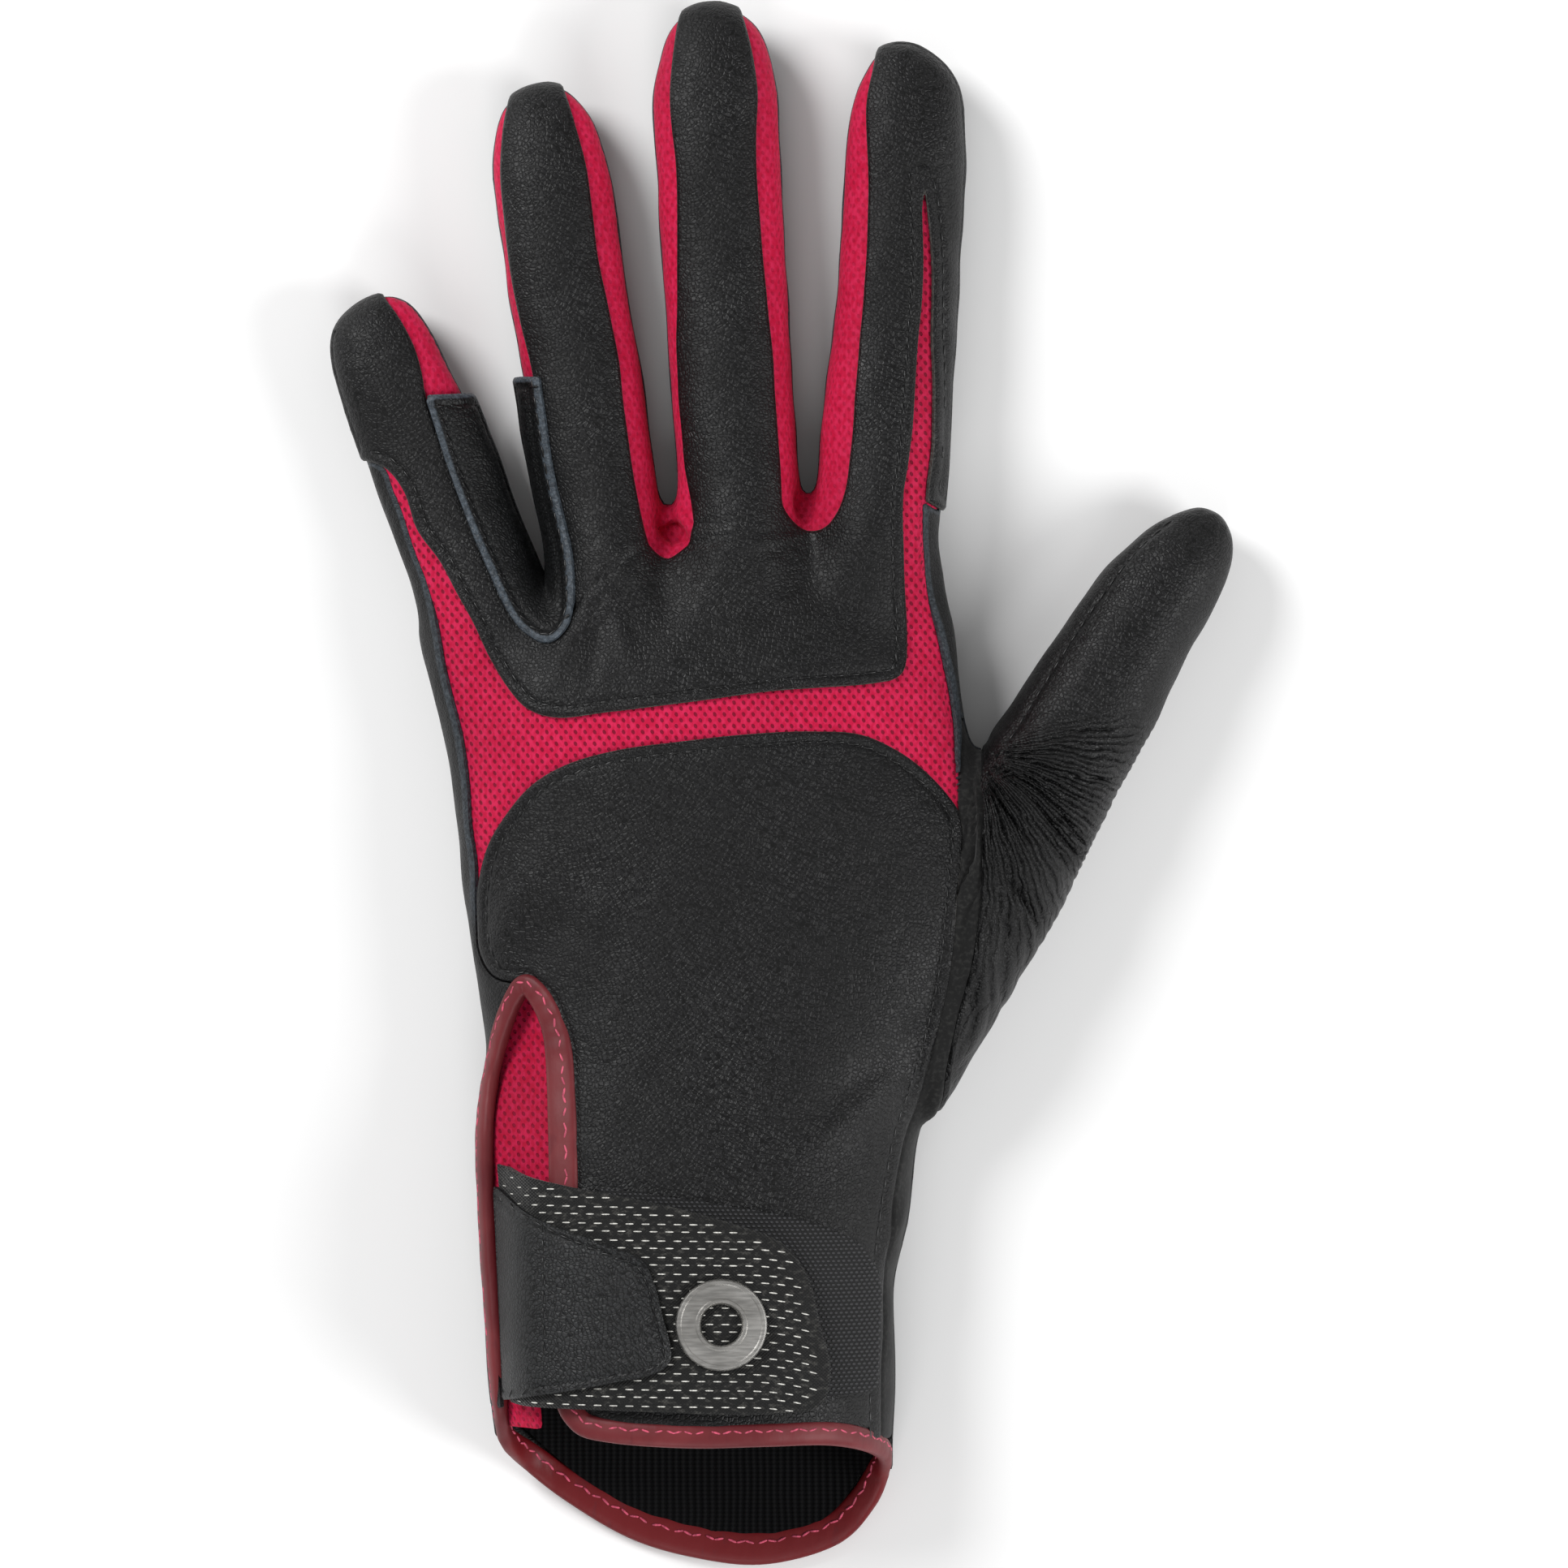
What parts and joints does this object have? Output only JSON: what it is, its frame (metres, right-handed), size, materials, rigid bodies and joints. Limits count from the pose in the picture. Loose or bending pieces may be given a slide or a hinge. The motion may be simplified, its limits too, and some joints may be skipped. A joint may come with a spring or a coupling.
{
  "type": "horse riding glove",
  "caption": "Left riding glove of black leather and red mesh, hollow, with a bound cuff vent and a wrist strap, lying palm down.",
  "frame": {"origin": "on the surface that the glove lies on, under the middle of the palm", "axes": "+X to the thumb side, +Y to the fingertips, +Z out of the back of the hand"},
  "size_m": [0.1422, 0.2461, 0.0377],
  "materials": {
    "leather": "soft grained nappa, semi-matt",
    "suede": "matt brushed",
    "red_mesh": "warp-knit mesh",
    "binding": "smooth, semi-matt",
    "lining": "ribbed knit",
    "webbing": "woven",
    "metal": "brushed"
  },
  "bodies": {
    "root": {"palm": "leather", "knuckle_panel": "leather", "hand_panel": "leather", "side_strip": "suede", "thumb": "leather", "fourchette_little_ring": "red_mesh", "fourchette_ring_middle": "red_mesh", "fourchette_middle_index": "red_mesh", "back_mesh": "red_mesh", "rein_guard": "leather", "cuff_binding": "binding", "vent_gusset": "red_mesh", "cuff_lining": "lining", "hook_patch": "webbing", "strap": "webbing", "strap_tab": "leather", "metal_ring": "metal"}
  },
  "joints": []
}
